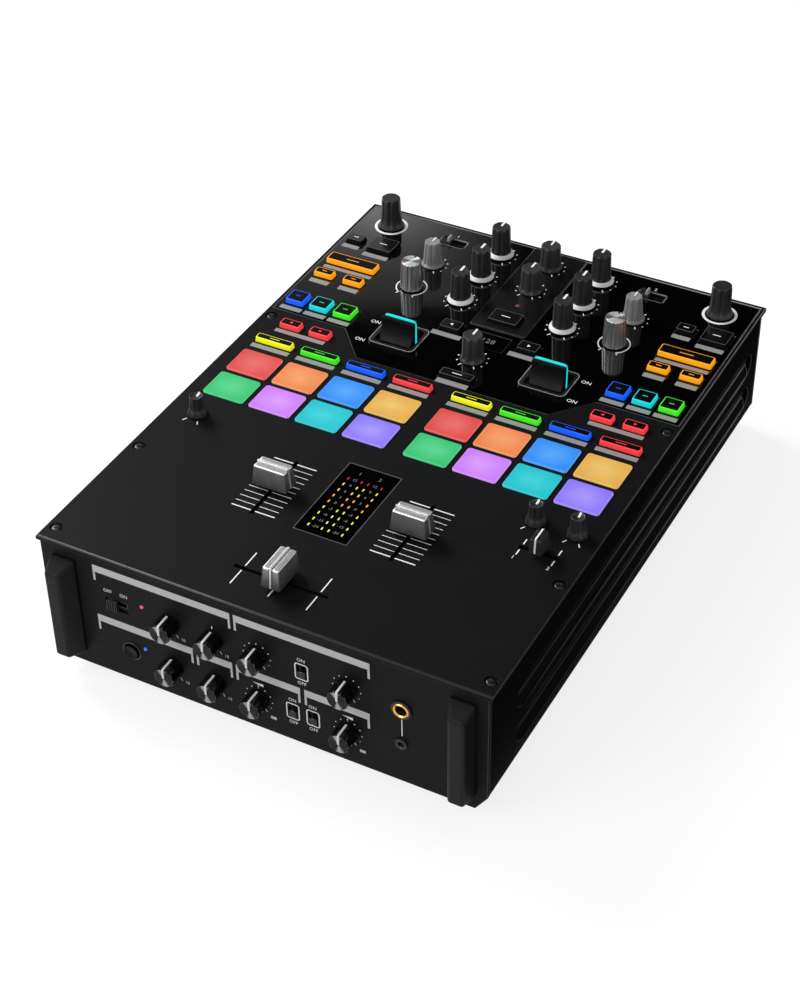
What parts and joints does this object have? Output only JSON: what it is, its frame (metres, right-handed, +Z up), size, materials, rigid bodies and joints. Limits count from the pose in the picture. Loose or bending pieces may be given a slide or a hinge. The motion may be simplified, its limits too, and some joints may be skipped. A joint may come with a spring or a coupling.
{
  "type": "dj mixer",
  "caption": "Two-channel battle mixer with turning knobs, sliding faders, tilting effect levers, pressing keys and performance pads in a flat case.",
  "frame": {"origin": "centre of the underside of the feet, in the middle of the overall outline", "axes": "+X to the right of someone at the controls, +Y from the front panel to the rear sockets, +Z up"},
  "size_m": [0.267, 0.3944, 0.1099],
  "materials": {
    "case_black": "satin black powder coat",
    "plate_black": "matte black paint",
    "gloss_black": "piano black",
    "display_glass": "smoked clear",
    "handle_black": "satin black",
    "rubber_black": "matte",
    "screw_steel": "dark zinc",
    "board_green": "printed circuit board",
    "control_steel": "plated",
    "unit_black": "moulded",
    "supply_steel": "plated",
    "socket_metal": "plated shells in black bodies",
    "knob_black": "soft-touch",
    "knob_grey": "satin",
    "knob_silver": "turned",
    "lever_black": "gloss with a clear edge light",
    "fader_silver": "silver paint",
    "switch_grey": "satin",
    "switch_black": "satin",
    "pad_light": "translucent, lit from below",
    "key_light": "translucent skirt, lit from below",
    "key_black": "satin"
  },
  "bodies": {
    "case": {"bottom_pan": "case_black", "side_panels": "case_black", "front_panel": "case_black", "rear_panel": "case_black", "top_plate": "plate_black", "upper_panels": "gloss_black", "displays_and_lights": "display_glass", "front_handles": "handle_black", "feet": "rubber_black", "fasteners": "screw_steel", "circuit_boards": "board_green", "potentiometers": "control_steel", "fader_and_lever_units": "unit_black", "power_supply": "supply_steel", "sockets": "socket_metal"},
    "browse_knob_left": {"browse_knob_left": "knob_black"},
    "trim_knob_left": {"trim_knob_left": "knob_grey"},
    "filter_knob_left": {"filter_knob_left": "knob_silver"},
    "tone_high_knob_left": {"tone_high_knob_left": "knob_black"},
    "tone_mid_knob_left": {"tone_mid_knob_left": "knob_black"},
    "tone_low_knob_left": {"tone_low_knob_left": "knob_black"},
    "browse_knob_right": {"browse_knob_right": "knob_black"},
    "trim_knob_right": {"trim_knob_right": "knob_grey"},
    "filter_knob_right": {"filter_knob_right": "knob_silver"},
    "tone_high_knob_right": {"tone_high_knob_right": "knob_black"},
    "tone_mid_knob_right": {"tone_mid_knob_right": "knob_black"},
    "tone_low_knob_right": {"tone_low_knob_right": "knob_black"},
    "master_level_knob": {"master_level_knob": "knob_black"},
    "booth_level_knob": {"booth_level_knob": "knob_black"},
    "effect_depth_knob": {"effect_depth_knob": "knob_black"},
    "sampler_level_knob": {"sampler_level_knob": "knob_black"},
    "cue_level_knob": {"cue_level_knob": "knob_black"},
    "cue_mix_knob": {"cue_mix_knob": "knob_black"},
    "mic_level_knob": {"mic_level_knob": "knob_black"},
    "mic_high_knob": {"mic_high_knob": "knob_black"},
    "mic_low_knob": {"mic_low_knob": "knob_black"},
    "crossfader_curve_knob": {"crossfader_curve_knob": "knob_black"},
    "wireless_level_knob": {"wireless_level_knob": "knob_black"},
    "left_curve_knob": {"left_curve_knob": "knob_black"},
    "right_curve_knob": {"right_curve_knob": "knob_black"},
    "fader_curve_knob": {"fader_curve_knob": "knob_black"},
    "effect_lever_left": {"effect_lever_left": "lever_black"},
    "effect_lever_right": {"effect_lever_right": "lever_black"},
    "channel_fader_left": {"channel_fader_left": "fader_silver"},
    "channel_fader_right": {"channel_fader_right": "fader_silver"},
    "crossfader": {"crossfader": "fader_silver"},
    "cue_fader": {"cue_fader": "fader_silver"},
    "input_switch_left": {"input_switch_left": "switch_grey"},
    "input_switch_right": {"input_switch_right": "switch_grey"},
    "mic_switch": {"mic_switch": "switch_black"},
    "reverse_switches": {"reverse_switches": "switch_black"},
    "pads_left": {"pads_left": "pad_light"},
    "pads_right": {"pads_right": "pad_light"},
    "pad_mode_keys_left": {"pad_mode_keys_left": "key_light"},
    "pad_mode_keys_right": {"pad_mode_keys_right": "key_light"},
    "deck_keys_left": {"deck_keys_left": "key_light"},
    "deck_keys_right": {"deck_keys_right": "key_light"},
    "centre_keys": {"centre_keys": "key_black"},
    "pairing_button": {"pairing_button": "key_light"},
    "power_button": {"power_button": "key_black"}
  },
  "joints": [
    {"name": "browse_knob_left_turn", "type": "hinge", "parent": "case", "child": "browse_knob_left", "pos_m": [-0.111, 0.1676, 0.0887], "axis": [0, 0, -1], "continuous": true},
    {"name": "trim_knob_left_turn", "type": "hinge", "parent": "case", "child": "trim_knob_left", "pos_m": [-0.067, 0.1395, 0.0887], "axis": [0, 0, -1], "range_deg": [-150, 150]},
    {"name": "filter_knob_left_turn", "type": "hinge", "parent": "case", "child": "filter_knob_left", "pos_m": [-0.067, 0.1114, 0.0887], "axis": [0, 0, -1], "range_deg": [-150, 150]},
    {"name": "tone_high_knob_left_turn", "type": "hinge", "parent": "case", "child": "tone_high_knob_left", "pos_m": [-0.03375, 0.1676, 0.0887], "axis": [0, 0, -1], "range_deg": [-150, 150]},
    {"name": "tone_mid_knob_left_turn", "type": "hinge", "parent": "case", "child": "tone_mid_knob_left", "pos_m": [-0.03375, 0.1395, 0.0887], "axis": [0, 0, -1], "range_deg": [-150, 150]},
    {"name": "tone_low_knob_left_turn", "type": "hinge", "parent": "case", "child": "tone_low_knob_left", "pos_m": [-0.03375, 0.1114, 0.0887], "axis": [0, 0, -1], "range_deg": [-150, 150]},
    {"name": "browse_knob_right_turn", "type": "hinge", "parent": "case", "child": "browse_knob_right", "pos_m": [0.111, 0.1676, 0.0887], "axis": [0, 0, -1], "continuous": true},
    {"name": "trim_knob_right_turn", "type": "hinge", "parent": "case", "child": "trim_knob_right", "pos_m": [0.067, 0.1395, 0.0887], "axis": [0, 0, -1], "range_deg": [-150, 150]},
    {"name": "filter_knob_right_turn", "type": "hinge", "parent": "case", "child": "filter_knob_right", "pos_m": [0.067, 0.1114, 0.0887], "axis": [0, 0, -1], "range_deg": [-150, 150]},
    {"name": "tone_high_knob_right_turn", "type": "hinge", "parent": "case", "child": "tone_high_knob_right", "pos_m": [0.03375, 0.1676, 0.0887], "axis": [0, 0, -1], "range_deg": [-150, 150]},
    {"name": "tone_mid_knob_right_turn", "type": "hinge", "parent": "case", "child": "tone_mid_knob_right", "pos_m": [0.03375, 0.1395, 0.0887], "axis": [0, 0, -1], "range_deg": [-150, 150]},
    {"name": "tone_low_knob_right_turn", "type": "hinge", "parent": "case", "child": "tone_low_knob_right", "pos_m": [0.03375, 0.1114, 0.0887], "axis": [0, 0, -1], "range_deg": [-150, 150]},
    {"name": "master_level_knob_turn", "type": "hinge", "parent": "case", "child": "master_level_knob", "pos_m": [0, 0.1676, 0.0887], "axis": [0, 0, -1], "range_deg": [-150, 150]},
    {"name": "booth_level_knob_turn", "type": "hinge", "parent": "case", "child": "booth_level_knob", "pos_m": [0, 0.1395, 0.0887], "axis": [0, 0, -1], "range_deg": [-150, 150]},
    {"name": "effect_depth_knob_turn", "type": "hinge", "parent": "case", "child": "effect_depth_knob", "pos_m": [0, 0.0601, 0.0887], "axis": [0, 0, -1], "range_deg": [-150, 150]},
    {"name": "sampler_level_knob_turn", "type": "hinge", "parent": "case", "child": "sampler_level_knob", "pos_m": [-0.114, -0.058, 0.0887], "axis": [0, 0, -1], "range_deg": [-150, 150]},
    {"name": "cue_level_knob_turn", "type": "hinge", "parent": "case", "child": "cue_level_knob", "pos_m": [0.0957, -0.058, 0.0887], "axis": [0, 0, -1], "range_deg": [-150, 150]},
    {"name": "cue_mix_knob_turn", "type": "hinge", "parent": "case", "child": "cue_mix_knob", "pos_m": [0.1197, -0.058, 0.0887], "axis": [0, 0, -1], "range_deg": [-150, 150]},
    {"name": "mic_level_knob_turn", "type": "hinge", "parent": "case", "child": "mic_level_knob", "pos_m": [-0.0532, -0.1862, 0.0589], "axis": [0, 1, 0], "range_deg": [-150, 150]},
    {"name": "mic_high_knob_turn", "type": "hinge", "parent": "case", "child": "mic_high_knob", "pos_m": [-0.0266, -0.1862, 0.0589], "axis": [0, 1, 0], "range_deg": [-150, 150]},
    {"name": "mic_low_knob_turn", "type": "hinge", "parent": "case", "child": "mic_low_knob", "pos_m": [-0.0003, -0.1862, 0.0589], "axis": [0, 1, 0], "range_deg": [-150, 150]},
    {"name": "crossfader_curve_knob_turn", "type": "hinge", "parent": "case", "child": "crossfader_curve_knob", "pos_m": [0.0522, -0.1862, 0.0589], "axis": [0, 1, 0], "range_deg": [-150, 150]},
    {"name": "wireless_level_knob_turn", "type": "hinge", "parent": "case", "child": "wireless_level_knob", "pos_m": [-0.0534, -0.1862, 0.0282], "axis": [0, 1, 0], "range_deg": [-150, 150]},
    {"name": "left_curve_knob_turn", "type": "hinge", "parent": "case", "child": "left_curve_knob", "pos_m": [-0.027, -0.1862, 0.0282], "axis": [0, 1, 0], "range_deg": [-150, 150]},
    {"name": "right_curve_knob_turn", "type": "hinge", "parent": "case", "child": "right_curve_knob", "pos_m": [-0.0008, -0.1862, 0.0282], "axis": [0, 1, 0], "range_deg": [-150, 150]},
    {"name": "fader_curve_knob_turn", "type": "hinge", "parent": "case", "child": "fader_curve_knob", "pos_m": [0.052, -0.1862, 0.0282], "axis": [0, 1, 0], "range_deg": [-150, 150]},
    {"name": "effect_lever_left_tilt", "type": "hinge", "parent": "case", "child": "effect_lever_left", "pos_m": [-0.0485, 0.0605, 0.0817], "axis": [1, 0, 0], "range_deg": [-15, 15], "stiffness_Nm_per_rad": 0.05},
    {"name": "effect_lever_right_tilt", "type": "hinge", "parent": "case", "child": "effect_lever_right", "pos_m": [0.0485, 0.0605, 0.0817], "axis": [1, 0, 0], "range_deg": [-15, 15], "stiffness_Nm_per_rad": 0.05},
    {"name": "channel_fader_left_slide", "type": "slide", "parent": "case", "child": "channel_fader_left", "axis": [0, 1, 0], "range_m": [-0.0225, 0.0225]},
    {"name": "channel_fader_right_slide", "type": "slide", "parent": "case", "child": "channel_fader_right", "axis": [0, 1, 0], "range_m": [-0.0225, 0.0225]},
    {"name": "crossfader_slide", "type": "slide", "parent": "case", "child": "crossfader", "axis": [1, 0, 0], "range_m": [-0.0225, 0.0225]},
    {"name": "cue_fader_slide", "type": "slide", "parent": "case", "child": "cue_fader", "axis": [1, 0, 0], "range_m": [-0.009, 0.009]},
    {"name": "input_switch_left_slide", "type": "slide", "parent": "case", "child": "input_switch_left", "axis": [1, 0, 0], "range_m": [0, 0.008]},
    {"name": "input_switch_right_slide", "type": "slide", "parent": "case", "child": "input_switch_right", "axis": [1, 0, 0], "range_m": [0, 0.008]},
    {"name": "mic_switch_slide", "type": "slide", "parent": "case", "child": "mic_switch", "axis": [1, 0, 0], "range_m": [0, 0.005]},
    {"name": "reverse_switches_slide", "type": "slide", "parent": "case", "child": "reverse_switches", "axis": [0, 0, 1], "range_m": [0, 0.0035]},
    {"name": "pads_left_press", "type": "slide", "parent": "case", "child": "pads_left", "axis": [0, 0, 1], "range_m": [-0.0012, 0], "stiffness_N_per_m": 600, "springref_m": 0.002},
    {"name": "pads_right_press", "type": "slide", "parent": "case", "child": "pads_right", "axis": [0, 0, 1], "range_m": [-0.0012, 0], "stiffness_N_per_m": 600, "springref_m": 0.002},
    {"name": "pad_mode_keys_left_press", "type": "slide", "parent": "case", "child": "pad_mode_keys_left", "axis": [0, 0, 1], "range_m": [-0.0012, 0], "stiffness_N_per_m": 300, "springref_m": 0.002},
    {"name": "pad_mode_keys_right_press", "type": "slide", "parent": "case", "child": "pad_mode_keys_right", "axis": [0, 0, 1], "range_m": [-0.0012, 0], "stiffness_N_per_m": 300, "springref_m": 0.002},
    {"name": "deck_keys_left_press", "type": "slide", "parent": "case", "child": "deck_keys_left", "axis": [0, 0, 1], "range_m": [-0.0012, 0], "stiffness_N_per_m": 400, "springref_m": 0.002},
    {"name": "deck_keys_right_press", "type": "slide", "parent": "case", "child": "deck_keys_right", "axis": [0, 0, 1], "range_m": [-0.0012, 0], "stiffness_N_per_m": 400, "springref_m": 0.002},
    {"name": "centre_keys_press", "type": "slide", "parent": "case", "child": "centre_keys", "axis": [0, 0, 1], "range_m": [-0.0012, 0], "stiffness_N_per_m": 300, "springref_m": 0.002},
    {"name": "pairing_button_press", "type": "slide", "parent": "case", "child": "pairing_button", "axis": [0, 1, 0], "range_m": [0, 0.001], "stiffness_N_per_m": 100, "springref_m": -0.002},
    {"name": "power_button_press", "type": "slide", "parent": "case", "child": "power_button", "axis": [0, -1, 0], "range_m": [0, 0.002], "stiffness_N_per_m": 150, "springref_m": -0.002}
  ]
}
